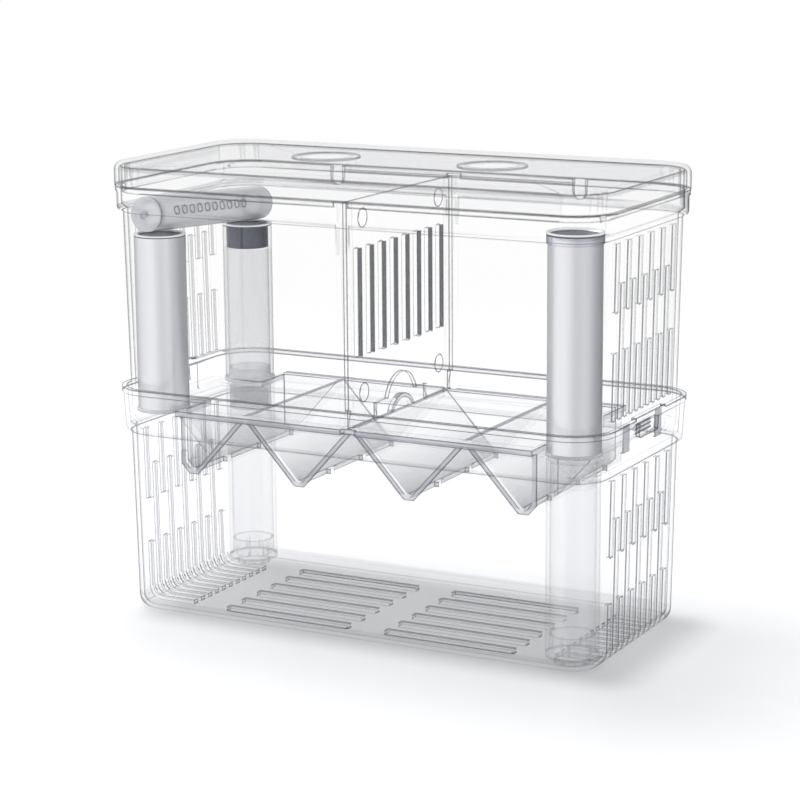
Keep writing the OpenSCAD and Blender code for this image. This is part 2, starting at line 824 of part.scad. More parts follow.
module float_tube_back_left() { upper_tube(-1, 1, rear_tube_height); }
module float_stopper_back_left() { upper_stopper(-1, 1, rear_tube_height); }
module float_foot_back_left() { upper_foot(-1, 1); }

module float_tube_front_right() { upper_tube(1, -1, tall_tube_height - outer_cap_height / 2); }
module float_foot_front_right() { upper_foot(1, -1); }
module float_cap_front_right() {
  color([0.55, 0.57, 0.6])
    at_upper(1, -1)
      translate([0, 0, tall_tube_height])
        outer_cap();
}

module lower_float_tube_back_left() { lower_tube(-1, 1); }
module lower_float_stopper_back_left() { lower_stopper(-1, 1); }
module lower_float_foot_back_left() { lower_foot(-1, 1); }

module lower_float_tube_front_right() { lower_tube(1, -1); }
module lower_float_stopper_front_right() { lower_stopper(1, -1); }
module lower_float_foot_front_right() { lower_foot(1, -1); }

// Flow tube, drawn along +Z from its front end and then laid down

module lay_flow_tube() {
  translate([-upper_tube_x, 0, flow_z])
    rotate([-90 - flow_slope, 0, 0])
      translate([0, 0, -flow_half])
        children();
}

module flow_tube() {
  first = flow_half - (flow_holes - 1) / 2 * flow_hole_pitch - flow_half / 8;
  color([0.74, 0.77, 0.8, 0.8])
    lay_flow_tube()
      difference() {
        translate([0, 0, flow_cap])
          disc(flow_radius, 2 * (flow_half - flow_cap));
        translate([0, 0, -cut])
          disc(flow_bore, 2 * (flow_half + cut));
        for (i = [0:flow_holes - 1])
          translate([0, 0, first + i * flow_hole_pitch])
            rotate([0, 0, -flow_hole_turn])
              rotate([0, 90, 0])
                cylinder(d = flow_hole_diameter, h = 2 * flow_radius, $fn = 24);
      }
}

module flow_cap_body() {
  disc(flow_radius, flow_cap);
  translate([0, 0, flow_cap / 2])
    tube(flow_cap / 2 + flow_spigot, flow_bore - stopper_fit, stopper_wall);
}

module flow_tube_front_cap() {
  color([0.82, 0.85, 0.87])
    lay_flow_tube()
      difference() {
        union() {
          flow_cap_body();
          translate([0, 0, -nipple_height]) disc(nipple_radius, nipple_height + flow_cap / 2);
        }
        translate([0, 0, -nipple_height - cut]) disc(nipple_hole, nipple_height + flow_cap / 2 + cut);
      }
}

module flow_tube_back_cap() {
  color([0.82, 0.85, 0.87])
    lay_flow_tube()
      translate([0, 0, 2 * flow_half])
        mirror([0, 0, 1])
          flow_cap_body();
}

lower_box();
upper_box();
lid();
port_cover_left();
port_cover_right();
divider();
spawning_tray();
float_tube_front_left();
float_stopper_front_left();
float_foot_front_left();
float_tube_back_left();
float_stopper_back_left();
float_foot_back_left();
float_tube_front_right();
float_cap_front_right();
float_foot_front_right();
lower_float_tube_back_left();
lower_float_stopper_back_left();
lower_float_foot_back_left();
lower_float_tube_front_right();
lower_float_stopper_front_right();
lower_float_foot_front_right();
flow_tube();
flow_tube_front_cap();
flow_tube_back_cap();
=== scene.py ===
import json
import math

import bmesh
import bpy
from mathutils import Matrix, Vector


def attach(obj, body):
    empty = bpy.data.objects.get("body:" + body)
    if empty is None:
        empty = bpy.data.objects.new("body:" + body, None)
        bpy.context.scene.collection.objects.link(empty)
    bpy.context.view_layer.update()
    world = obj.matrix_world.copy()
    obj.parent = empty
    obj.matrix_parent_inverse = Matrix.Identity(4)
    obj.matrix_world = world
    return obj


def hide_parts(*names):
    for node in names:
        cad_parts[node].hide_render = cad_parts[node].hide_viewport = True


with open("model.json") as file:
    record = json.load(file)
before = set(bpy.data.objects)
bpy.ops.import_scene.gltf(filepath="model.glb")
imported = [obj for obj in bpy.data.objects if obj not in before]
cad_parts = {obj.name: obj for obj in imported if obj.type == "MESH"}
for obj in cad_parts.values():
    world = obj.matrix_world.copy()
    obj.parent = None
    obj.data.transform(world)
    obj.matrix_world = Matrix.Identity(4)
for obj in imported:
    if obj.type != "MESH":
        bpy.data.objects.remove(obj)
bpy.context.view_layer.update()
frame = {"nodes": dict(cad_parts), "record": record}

# Lower box: one injection moulding in clear polystyrene, about 1.6 mm thick, with a widened
# collar that the upper box nests in. Its mesh is a merged copy of the solid, shaded smooth
# round the corners and sharp at the slots, with painted shade on the walls of the slots.

node_body = {node: body for body, members in frame["record"]["behaviour"]["bodies"].items()
             for node in members}
node_slot = {part["node"]: part["material_slot"] for part in frame["record"]["subparts"]}


def moulding(node, material, crease=32, areas=(), splits=()):
    """Adds a smooth-shaded copy of a solid, which stands for the solid. Each of its areas has a
    finish of its own, and a test on a face's middle and normal that picks its faces. Splits
    are planes that cut the faces first, so that an area can end in the middle of a face."""
    mesh = frame["nodes"][node].data.copy()
    mesh.name = "moulded_" + node
    merged = bmesh.new()
    merged.from_mesh(mesh)
    bmesh.ops.remove_doubles(merged, verts=merged.verts, dist=2e-6)
    bmesh.ops.dissolve_degenerate(merged, edges=merged.edges, dist=2e-6)
    for point, across in splits:
        everything = merged.verts[:] + merged.edges[:] + merged.faces[:]
        bmesh.ops.bisect_plane(merged, geom=everything, dist=1e-6, plane_co=point, plane_no=across)
    merged.to_mesh(mesh)
    merged.free()
    mesh.shade_smooth()
    mesh.set_sharp_from_angle(angle=math.radians(crease))
    mesh.materials.clear()
    mesh.materials.append(material)
    for finish, _ in areas:
        mesh.materials.append(finish)
    for face in mesh.polygons:
        for index, (_, belongs) in enumerate(areas, 1):
            if belongs(face.center, face.normal):
                face.material_index = index
                break
    piece = bpy.data.objects.new("moulded_" + node, mesh)
    bpy.context.scene.collection.objects.link(piece)
    weigh = piece.modifiers.new("even faces", "WEIGHTED_NORMAL")
    weigh.keep_sharp = True
    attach(piece, node_body[node])
    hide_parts(node)


def wire(tree, source, target):
    tree.links.new(source, target)


def new_socket(group, name, in_out, kind, value=None):
    socket = group.interface.new_socket(name=name, in_out=in_out, socket_type=kind)
    if value is not None:
        socket.default_value = value


def calc(tree, operation, first, second=0):
    """The result of one Math node, of two sockets or numbers."""
    node = tree.nodes.new("ShaderNodeMath")
    node.operation = operation
    for socket, value in zip(node.inputs, (first, second)):
        if isinstance(value, (int, float)):
            socket.default_value = value
        else:
            wire(tree, value, socket)
    return node.outputs[0]


def spread(tree, value, low, high, smooth=False):
    """A value brought from low..high to 0..1, and held there."""
    node = tree.nodes.new("ShaderNodeMapRange")
    node.interpolation_type = "SMOOTHSTEP" if smooth else "LINEAR"
    node.inputs["From Min"].default_value = low
    node.inputs["From Max"].default_value = high
    wire(tree, value, node.inputs["Value"])
    return node.outputs["Result"]


def mixed(tree, kind, factor, first, second):
    """A mix of two values or colours: the first where the factor is 0, the second where it is 1."""
    node = tree.nodes.new("ShaderNodeMix")
    node.data_type = kind
    for socket, source in (("Factor", factor), ("A", first), ("B", second)):
        if isinstance(source, tuple):
            node.inputs[socket].default_value = source
        else:
            wire(tree, source, node.inputs[socket])
    return node.outputs["Result"]


def axes_of(tree, vector):
    node = tree.nodes.new("ShaderNodeSeparateXYZ")
    wire(tree, vector, node.inputs[0])
    return node.outputs


def noise(tree, vector, scale, detail):
    node = tree.nodes.new("ShaderNodeTexNoise")
    node.inputs["Scale"].default_value = scale
    node.inputs["Detail"].default_value = detail
    wire(tree, vector, node.inputs["Vector"])
    return node.outputs["Fac"]


def bumped(tree, strength, distance, height, normal):
    node = tree.nodes.new("ShaderNodeBump")
    node.inputs["Distance"].default_value = distance
    wire(tree, strength, node.inputs["Strength"])
    wire(tree, height, node.inputs["Height"])
    wire(tree, normal, node.inputs["Normal"])
    return node.outputs["Normal"]


def bend_of_surface(tree, radius, low, high, samples=5):
    """How much the surface turns within a radius: 1 along edges, 0 on flat faces."""
    soft = tree.nodes.new("ShaderNodeBevel")
    soft.samples = samples
    soft.inputs["Radius"].default_value = radius
    shape = tree.nodes.new("ShaderNodeNewGeometry")
    turn = tree.nodes.new("ShaderNodeVectorMath")
    turn.operation = "DOT_PRODUCT"
    wire(tree, soft.outputs["Normal"], turn.inputs[0])
    wire(tree, shape.outputs["Normal"], turn.inputs[1])
    return soft.outputs["Normal"], spread(tree, turn.outputs["Value"], low, high)


def moulded_skin_group():
    """How clear plastic shows itself: grey at cut edges and folds, greyer where it is seen
    aslant, with slow flow ripples and hairline handling marks, painted shade on faces that
    slope up towards the left and a painted highlight beside each edge. Behind hides the side
    that a one-sided finish doesn't have."""
    group = bpy.data.node_groups.new("moulded skin", "ShaderNodeTree")
    for name, value in (("Facing", 0.3), ("Behind", 0.0), ("Film", 0.02), ("Edge Strength", 0.6),
                        ("Fold Strength", 0.25), ("Slant Strength", 0.3), ("Slant Start", 0.6),
                        ("Tilt Strength", 0.0), ("Quiet From", 0.0), ("Quiet To", 0.0), ("Ripple", 0.08),
                        ("Smooth", 0.05), ("Scratched", 0.25)):
        new_socket(group, name, "INPUT", "NodeSocketFloat", value)
    new_socket(group, "Body Colour", "INPUT", "NodeSocketColor", (0.8, 0.82, 0.84, 1))
    new_socket(group, "Edge Colour", "INPUT", "NodeSocketColor", (0.3, 0.32, 0.36, 1))
    new_socket(group, "Colour", "OUTPUT", "NodeSocketColor")
    new_socket(group, "Roughness", "OUTPUT", "NodeSocketFloat")
    new_socket(group, "Alpha", "OUTPUT", "NodeSocketFloat")
    new_socket(group, "Normal", "OUTPUT", "NodeSocketVector")
    n = group.nodes
    entry = n.new("NodeGroupInput")
    leave = n.new("NodeGroupOutput")
    place = n.new("ShaderNodeTexCoord")

    ripple = noise(group, place.outputs["Object"], scale=38, detail=1.5)
    stretch = n.new("ShaderNodeMapping")
    stretch.inputs["Rotation"].default_value = (0.5, 0.3, 0.8)
    stretch.inputs["Scale"].default_value = (1600, 45, 45)
    wire(group, place.outputs["Object"], stretch.inputs["Vector"])
    hairline = noise(group, stretch.outputs["Vector"], scale=1, detail=2)
    rough = mixed(group, "FLOAT", spread(group, hairline, 0.62, 0.78), entry.outputs["Smooth"],
                  entry.outputs["Scratched"])
    wire(group, rough, leave.inputs["Roughness"])

    # Between two heights, where small ribs stand behind the wall, the edges hardly show
    height = axes_of(group, place.outputs["Object"])["Z"]
    quiet = calc(group, "MULTIPLY", calc(group, "GREATER_THAN", height, entry.outputs["Quiet From"]),
                 calc(group, "LESS_THAN", height, entry.outputs["Quiet To"]))
    loud = calc(group, "SUBTRACT", 1, calc(group, "MULTIPLY", quiet, 0.93))
    rounded, edge = bend_of_surface(group, radius=0.00085, low=0.995, high=0.88)
    edge = calc(group, "MULTIPLY", edge, loud)
    _, fold = bend_of_surface(group, radius=0.0009, low=0.9997, high=0.994, samples=3)
    fold = calc(group, "MULTIPLY", fold, loud)
    wire(group, bumped(group, entry.outputs["Ripple"], 0.0005, ripple, rounded), leave.inputs["Normal"])

    # Upright and sloping walls look greyer aslant, level faces hardly do
    past_start = calc(group, "SUBTRACT", entry.outputs["Facing"], entry.outputs["Slant Start"])
    slant = calc(group, "DIVIDE", past_start, calc(group, "SUBTRACT", 1, entry.outputs["Slant Start"]))
    slant = spread(group, slant, 0, 1, smooth=True)
    slant = calc(group, "MULTIPLY", slant, slant)
    turned = axes_of(group, place.outputs["Normal"])
    level = spread(group, calc(group, "ABSOLUTE", turned["Z"]), 0.8, 0.95)
    upright = calc(group, "SUBTRACT", 1, calc(group, "MULTIPLY", level, 0.93))
    slant = calc(group, "MULTIPLY", slant, upright)
    # Painted shade: panels that slope up towards the left are drawn darker, darkest near their foot
    tilt = spread(group, calc(group, "MULTIPLY", turned["X"], turned["Z"]), -0.15, 0.15)
    foot = spread(group, height, 0.082, 0.056)
    foot = calc(group, "MULTIPLY", foot, foot)
    foot = calc(group, "ADD", 0.16, calc(group, "MULTIPLY", foot, 0.84))
    tilt = calc(group, "MULTIPLY", tilt, foot)
    # Each edge is a dark line with a paler one beside it, which is a painted highlight
    line = spread(group, edge, 0.02, 0.17)
    gleam = calc(group, "MULTIPLY", spread(group, edge, 0.01, 0.08), 0.35)
    edge_part = calc(group, "MULTIPLY", line, entry.outputs["Edge Strength"])
    fold_part = calc(group, "MULTIPLY", fold, entry.outputs["Fold Strength"])
    slant_part = calc(group, "MULTIPLY", slant, entry.outputs["Slant Strength"])
    tilt_part = calc(group, "MULTIPLY", tilt, entry.outputs["Tilt Strength"])
    slant_part = calc(group, "MAXIMUM", slant_part, tilt_part)
    dark = calc(group, "MAXIMUM", edge_part, calc(group, "MAXIMUM", fold_part, slant_part))
    drawn = calc(group, "MAXIMUM", dark, calc(group, "MULTIPLY", gleam, entry.outputs["Edge Strength"]))
    drawn = calc(group, "MAXIMUM", drawn, entry.outputs["Film"])
    wire(group, calc(group, "MULTIPLY", drawn, calc(group, "SUBTRACT", 1, entry.outputs["Behind"])),
         leave.inputs["Alpha"])
    pale = mixed(group, "RGBA", gleam, entry.outputs["Body Colour"], (1, 1, 1, 1))
    share = calc(group, "DIVIDE", dark, calc(group, "MAXIMUM", drawn, 0.01))
    share = calc(group, "MINIMUM", spread(group, dark, 0.02, 0.25), share)
    wire(group, mixed(group, "RGBA", share, pale, entry.outputs["Edge Colour"]), leave.inputs["Colour"])
    return group


moulded_skin = moulded_skin_group()


def new_material(name):
    material = bpy.data.materials.new(name)
    material.use_nodes = True
    nodes = material.node_tree.nodes
    return material, nodes, nodes["Principled BSDF"], nodes["Material Output"]


def clear_plastic(name, film=0.01, body=(0.85, 0.86, 0.88), edge=(0.07, 0.076, 0.094), edges=0.97,
                  folds=0.35, slants=0.6, slant_start=0.6, tilt_shading=0.0, quiet=(0, 0),
                  seen_from="both sides"):
    """A finish of clear plastic: film is how much its flat faces hide, edges, folds and slants
    how dark those look, the tilt shading how much painted shade falls on faces that slope up
    towards the left, and quiet two heights between which the edges hardly show."""
    material, nodes, plastic, _ = new_material(name)
    tree = material.node_tree
    skin = nodes.new("ShaderNodeGroup")
    skin.node_tree = moulded_skin
    for socket, value in (("Film", film), ("Edge Strength", edges), ("Fold Strength", folds),
                          ("Slant Strength", slants), ("Slant Start", slant_start),
                          ("Tilt Strength", tilt_shading), ("Quiet From", quiet[0]), ("Quiet To", quiet[1]),
                          ("Ripple", 0.05), ("Smooth", 0.04), ("Scratched", 0.2),
                          ("Body Colour", (*body, 1)), ("Edge Colour", (*edge, 1))):
        skin.inputs[socket].default_value = value
    seen_aslant = nodes.new("ShaderNodeLayerWeight")
    seen_aslant.inputs["Blend"].default_value = 0.5
    wire(tree, seen_aslant.outputs["Facing"], skin.inputs["Facing"])
    if seen_from != "both sides":
        shape = nodes.new("ShaderNodeNewGeometry")
        hidden = shape.outputs["Backfacing"]
        if seen_from == "inside":
            hidden = calc(tree, "SUBTRACT", 1, hidden)
        wire(tree, hidden, skin.inputs["Behind"])
    plastic.inputs["IOR"].default_value = 1.55
    plastic.inputs["Specular IOR Level"].default_value = 0.15
    wire(tree, skin.outputs["Colour"], plastic.inputs["Base Color"])
    wire(tree, skin.outputs["Roughness"], plastic.inputs["Roughness"])
    wire(tree, skin.outputs["Normal"], plastic.inputs["Normal"])
    wire(tree, skin.outputs["Alpha"], plastic.inputs["Alpha"])
    return material


slot_reach = 0.0295          # how far the end slots reach from the middle
floor_line_z, floor_z = 0.0009, 0.0017   # half way up the floor's slots, and just above the floor
foot_bend_z = 0.0056         # top of the rounded foot
collar_z, bead_z = 0.0705, 0.0862        # foot of the collar, and top of the slope under its bead
lower_rim_z = 0.0885         # just above the rim
corner_x, corner_y = 0.0855, 0.0315   # centres of the round corners
seat_z = (0.0724, 0.0772)    # the ribs that the upper box stands on
latch_face_x = 0.0985        # the outer face of the latch, inside its window
outer_strip, inner_strip = 0.0006, 0.0007   # where the slot walls are parted, from the outside in


def slot_walls(low_z, high_z, reach):
    """Picks the upright walls of the slots between two levels."""
    return lambda at, normal: abs(normal.y) > 0.99 and abs(at.y) < reach and low_z < at.z < high_z


def slot_strips(foot, foot_z, draft, low_z, high_z):
    """The planes that part the slot walls of both ends into strips, and a maker of the tests that
    pick the strip nearest the camera, of walls that face the front or the back."""
    planes = [((end * (foot - depth), 0, foot_z), (end, 0, -draft))
              for end, depth in ((1, outer_strip), (-1, inner_strip))]

    def strip(end, facing):
        def belongs(at, normal):
            depth = foot + (at.z - foot_z) * draft - abs(at.x)
            shown = depth < outer_strip if end > 0 else depth > inner_strip
            return (shown and normal.y * facing > 0.99 and at.x * end > 0 and abs(at.y) < slot_reach
                    and low_z < at.z < high_z)
        return belongs
    return planes, strip


def floor_slots(at, normal):
    """Picks the upper half of the walls of the long slots through the floor, which get painted shade."""
    return floor_line_z < at.z < floor_z and abs(normal.z) < 0.1 and abs(at.x) < 0.064


def floor_walls(at, normal):
    """Picks the other cut walls of the floor and of its rounded edge."""
    return at.z < foot_bend_z and abs(normal.y) > 0.9 and abs(at.y) < slot_reach


def floor_faces(at, normal):
    return at.z < floor_z and abs(normal.z) > 0.98


def bottom_bend(at, normal):
    """Picks the rounded foot of the walls."""
    return at.z < foot_bend_z - 0.0001 and 0.06 < abs(normal.z) < 0.98


def corner_between(low_z, high_z):
    """Picks the four upright round corners between two levels."""
    return lambda at, normal: low_z < at.z < high_z and abs(normal.x) > 0.12 and abs(normal.y) > 0.12


def end_lining(at, normal):
    """Picks the inner faces of the two end walls, whose edges repeat those of the outer faces."""
    return abs(normal.x) > 0.9 and normal.x * at.x < 0 and abs(at.x) > 0.093


def bead_foot(at, normal):
    """Picks the slope under the rim bead, which is drawn dark as painted shade."""
    return bead_z - 0.0007 < at.z < bead_z + 0.0002 and -0.9 < normal.z < -0.5


def far_bead(at, normal):
    """Picks the face of the rim bead on the far side, whose thick rim looks grey through the box."""
    return at.z > bead_z and abs(normal.z) < 0.2 and normal.y > 0.3 and at.y > 0.03


def seat_ribs(at, normal):
    """Picks the small ribs in the corners of the collar."""
    out_x, out_y = abs(at.x) - corner_x, abs(at.y) - corner_y
    out = math.hypot(out_x, out_y)
    along = abs(out_x * abs(normal.x) + out_y * abs(normal.y)) / out
    return (seat_z[0] - 0.0003 < at.z < seat_z[1] - 0.0005 and out_x > 0 and out_y > 0
            and (normal.z > 0.9 or (abs(normal.z) < 0.1 and (along < 0.75 or out < 0.0118))))


def window_walls(at, normal):
    """Picks the edges of the latch windows, which get painted shade."""
    return (abs(at.x) > latch_face_x and abs(at.y) < 0.0088 and 0.0806 < at.z < 0.086
            and (abs(normal.y) > 0.9 or abs(normal.z) > 0.9))


# Painted shade: the slot walls are drawn dark, at the right end darker where they face the back than where
# they face the front, and softer at the left end
floor_slot_shade = clear_plastic("painted shade on floor slot walls", film=0.6, body=(0.16, 0.17, 0.2), edge=(0.08, 0.085, 0.1),
                           edges=0.6, folds=0, slants=0.3, seen_from="outside")
near_strip_shade = clear_plastic("painted shade, near slot walls", film=0.75, body=(0.14, 0.15, 0.18), edges=0, folds=0, slants=0)
far_strip_shade = clear_plastic("painted shade, far slot walls", film=0.3, body=(0.3, 0.32, 0.36), edges=0, folds=0, slants=0)
left_strip_shade = clear_plastic("painted shade, left slot walls", film=0.48, body=(0.28, 0.3, 0.35), edges=0, folds=0, slants=0)
faint = clear_plastic("faint lining", edges=0.1, folds=0.0, slants=0.1)
clear_bend = clear_plastic("clear bend", film=0.05, body=(0.5, 0.52, 0.56), folds=0.45, slants=1.0,
                           slant_start=0.35)
clear_corner = clear_plastic("clear corner", quiet=seat_z)
bead_underside_shade = clear_plastic("painted shade under the bead", film=0.75, body=(0.2, 0.21, 0.25))
bead_grey = clear_plastic("far bead", edges=0.6, film=0.2, body=(0.22, 0.24, 0.28))
window_wall_shade = clear_plastic("painted shade on window walls", film=0.3, body=(0.12, 0.13, 0.16))
# Painted shade: the upright round corners of the boxes are drawn a soft grey
corner_soft_shade = clear_plastic("soft painted shade in corners", film=0.04, body=(0.4, 0.42, 0.46), slants=0.7, slant_start=0.4,
                            folds=0.3)
# Painted shade: the floor of the lower box is drawn a little grey
floor_shade_sheet = clear_plastic("painted shade on the box floor", film=0.05, body=(0.35, 0.36, 0.4))

planes, strip = slot_strips(foot=0.0974, foot_z=0, draft=0.01705, low_z=foot_bend_z, high_z=collar_z)
moulding("lower_box", clear_plastic("clear lower box", quiet=seat_z), areas=(
    (faint, seat_ribs), (bead_underside_shade, bead_foot), (bead_grey, far_bead), (window_wall_shade, window_walls),
    (floor_slot_shade, floor_slots), (faint, floor_walls), (near_strip_shade, strip(1, 1)), (far_strip_shade, strip(1, -1)),
    (left_strip_shade, strip(-1, 1)), (faint, slot_walls(-0.001, collar_z, slot_reach)), (clear_bend, bottom_bend),
    (corner_soft_shade, corner_between(foot_bend_z, collar_z - 0.0001)),
    (clear_corner, corner_between(collar_z, lower_rim_z)), (faint, end_lining), (floor_shade_sheet, floor_faces)),
    splits=planes + [((0, 0, floor_line_z), (0, 0, 1))])

# Upper box: a second clear moulding that nests in the lower box's collar. It has the floor
# ledge for the tray, guide rails for the divider, and a snap lug between two posts at each end.

ledge_z = (0.0766, 0.0803)   # between the foot and the ledge that carries the tray
slot_top_z, step_low_z, rim_z = 0.154, 0.1552, 0.1648
lug_y, latch_top_z = 0.0078, 0.0867


def guide_rails(at, normal):
    """Picks the rails that hold the divider."""
    return abs(at.x) < 0.0045 and abs(at.y) > 0.0395 and 0.081 < at.z < rim_z


def latch_posts(at, normal):
    """Picks the two posts beside each lug, but not the wall that they stand on."""
    return 0.012 < abs(at.y) < 0.018 and at.z < latch_top_z and (
        abs(at.x) > latch_face_x
        or (abs(at.x) > 0.0972 and (abs(normal.y) > 0.99 or abs(normal.z) > 0.99)))


def step_under(at, normal):
    """Picks the rounded underside of the step below the collar, which looks dark from inside."""
    return step_low_z - 0.0002 < at.z < step_low_z + 0.0021 and normal.z < -0.06


def nested_foot(at, normal):
    """Picks the part that stands inside the lower box's collar, where few of its edges show."""
    return at.z < 0.0878 and (abs(normal.z) > 0.5 or abs(at.x) < 0.0968)


def latch_bars(at, normal):
    """Picks the faces of the bars on the lug."""
    return (abs(at.x) > latch_face_x + 0.0002 and abs(normal.x) > 0.9 and abs(at.y) < lug_y
            and at.z < latch_top_z)


def lug_face(at, normal):
    """Picks the face of the lug behind its bars."""
    return (abs(abs(at.x) - latch_face_x) < 0.00015 and abs(normal.x) > 0.9 and abs(at.y) < lug_y
            and at.z < latch_top_z)


def lug_sides(at, normal):
    """Picks the narrow sides of the lug and its bars."""
    return abs(at.x) > 0.0973 and abs(normal.x) < 0.1 and abs(at.y) < lug_y and 0.0805 < at.z < latch_top_z


nested_clear = clear_plastic("nested foot", edges=0.22, folds=0.0, slants=0.1)
bar_dark = clear_plastic("latch bars", film=0.85, body=(0.13, 0.14, 0.17), edges=0.85, seen_from="outside")
lug_pale = clear_plastic("lug face", film=0.85, body=(0.96, 0.965, 0.97), edges=0, seen_from="outside")
post_grey = clear_plastic("latch posts", film=0.75, body=(0.36, 0.38, 0.42), edge=(0.2, 0.21, 0.24),
                          edges=0.8, seen_from="outside")
step_shade = clear_plastic("shaded step", film=0.06, edge=(0.2, 0.22, 0.27), edges=0.9, slants=1.0,
                           slant_start=0.05, seen_from="inside")
# Painted shade: the corners of the collar are drawn darker, the far right one darkest
collar_corner_shade = clear_plastic("dark corner", edge=(0.06, 0.068, 0.088), slants=1.0, slant_start=0.5,
                            folds=0.45)
far_corner_half_shade = clear_plastic("half dark corner", film=0.04, body=(0.13, 0.145, 0.19), slants=1.0,
                          slant_start=0.2)
right_corner = clear_plastic("dark right corner", film=0.06, body=(0.13, 0.145, 0.19),
                             edge=(0.05, 0.058, 0.078), slants=1.0, slant_start=0.0)
in_collar = corner_between(step_low_z, rim_z - 0.0016)


def far_right_corner(at, normal):
    """Picks the corner of the collar that gets the heaviest painted shade, where its faces look along the
    box.
    """
    return at.x > 0 and at.y > 0 and abs(normal.x) > 0.6 and in_collar(at, normal)


def beside_it(at, normal):
    """Picks the rest of that corner, which gets lighter painted shade."""
    return at.x > 0 and at.y > 0 and abs(normal.x) <= 0.6 and in_collar(at, normal)


planes, strip = slot_strips(foot=0.0982, foot_z=0.0765, draft=0.01779, low_z=lower_rim_z, high_z=slot_top_z)
moulding("upper_box", clear_plastic("clear upper box", edges=0.8, quiet=ledge_z), areas=(
    (faint, guide_rails), (bar_dark, latch_bars), (lug_pale, lug_face), (faint, lug_sides),
    (post_grey, latch_posts), (nested_clear, nested_foot), (near_strip_shade, strip(1, 1)),
    (far_strip_shade, strip(1, -1)), (left_strip_shade, strip(-1, 1)),
    (faint, slot_walls(lower_rim_z, slot_top_z, slot_reach)), (step_shade, step_under),
    (right_corner, far_right_corner), (far_corner_half_shade, beside_it),
    (collar_corner_shade, corner_between(step_low_z, rim_z + 0.0002)),
    (corner_soft_shade, corner_between(lower_rim_z, step_low_z)), (faint, end_lining)), splits=planes)

# Lid and port covers: a shallow clear lid that drops over the upper box's collar, with two
# dished covers pressed into its feeding ports.

port_centres = ((-0.035, 0.007), (0.035, 0.007))


def port_collar(at, normal):
    """Picks the collar under each feeding port."""
    return at.z < 0.1719 and min(math.hypot(at.x - x, at.y - y) for x, y in port_centres) < 0.0155


def lid_faces(at, normal):
    """Picks the flat sheet of the lid, above and below."""
    return at.z > 0.17 and abs(normal.z) > 0.98


lid_sheet = clear_plastic("lid sheet", film=0.11, body=(0.28, 0.3, 0.34), edges=0.6)
lid_corner = clear_plastic("lid corner", edges=0.65, slants=0.7, slant_start=0.4)
moulding("lid", clear_plastic("clear lid", film=0.03, body=(0.5, 0.52, 0.56), edges=0.65, folds=0.4,
                              slants=0.7),
         areas=((faint, port_collar), (lid_sheet, lid_faces),
                (lid_corner, corner_between(rim_z - 0.003, 0.172))))
cover_clear = clear_plastic("clear port cover", film=0.12, body=(0.9, 0.91, 0.93), edges=0.6, folds=0.1,
                            slants=0.1)


def cover_skirt(at, normal):
    """Picks the hidden skirt of a cover, inside the lid."""
    return at.z < 0.1728


for side in ("left", "right"):
    moulding("port_cover_" + side, cover_clear, areas=((faint, cover_skirt),))

# Divider: a flat clear plate with eight water slots, which slides down between the guide
# rails and stands astride the tray's middle ridge. Its ejector marks are thin rings in the
# plate's right face, placed by Geometry Nodes.


def ring_row_group():
    """A row of wire rings from a first centre on, each facing the same way."""
    group = bpy.data.node_groups.new("ring row", "GeometryNodeTree")
    new_socket(group, "Count", "INPUT", "NodeSocketInt", 10)
    new_socket(group, "First Centre", "INPUT", "NodeSocketVector")
    new_socket(group, "Step", "INPUT", "NodeSocketVector")
    new_socket(group, "Facing", "INPUT", "NodeSocketVector", (1, 0, 0))
    new_socket(group, "Ring Radius", "INPUT", "NodeSocketFloat", 0.0017)
    new_socket(group, "Wire Radius", "INPUT", "NodeSocketFloat", 0.0003)
    new_socket(group, "Finish", "INPUT", "NodeSocketMaterial")
    new_socket(group, "Geometry", "OUTPUT", "NodeSocketGeometry")
    n = group.nodes
    entry = n.new("NodeGroupInput")
    leave = n.new("NodeGroupOutput")
    row = n.new("GeometryNodeMeshLine")
    row.mode = "OFFSET"
    wire(group, entry.outputs["Count"], row.inputs["Count"])
    wire(group, entry.outputs["First Centre"], row.inputs["Start Location"])
    wire(group, entry.outputs["Step"], row.inputs["Offset"])
    ring = n.new("GeometryNodeCurvePrimitiveCircle")
    ring.inputs["Resolution"].default_value = 32
    wire(group, entry.outputs["Ring Radius"], ring.inputs["Radius"])
    thickness = n.new("GeometryNodeCurvePrimitiveCircle")
    thickness.inputs["Resolution"].default_value = 8
    wire(group, entry.outputs["Wire Radius"], thickness.inputs["Radius"])
    swept = n.new("GeometryNodeCurveToMesh")
    wire(group, ring.outputs["Curve"], swept.inputs["Curve"])
    wire(group, thickness.outputs["Curve"], swept.inputs["Profile Curve"])
    turned = n.new("FunctionNodeAlignEulerToVector")
    turned.axis = "Z"
    wire(group, entry.outputs["Facing"], turned.inputs["Vector"])
    placed = n.new("GeometryNodeInstanceOnPoints")
    wire(group, row.outputs["Mesh"], placed.inputs["Points"])
    wire(group, swept.outputs["Mesh"], placed.inputs["Instance"])
    wire(group, turned.outputs["Rotation"], placed.inputs["Rotation"])
    real = n.new("GeometryNodeRealizeInstances")
    wire(group, placed.outputs["Instances"], real.inputs["Geometry"])
    finish = n.new("GeometryNodeSetMaterial")
    wire(group, real.outputs["Geometry"], finish.inputs["Geometry"])
    wire(group, entry.outputs["Finish"], finish.inputs["Material"])
    wire(group, finish.outputs["Geometry"], leave.inputs["Geometry"])
    return group


ring_row = ring_row_group()


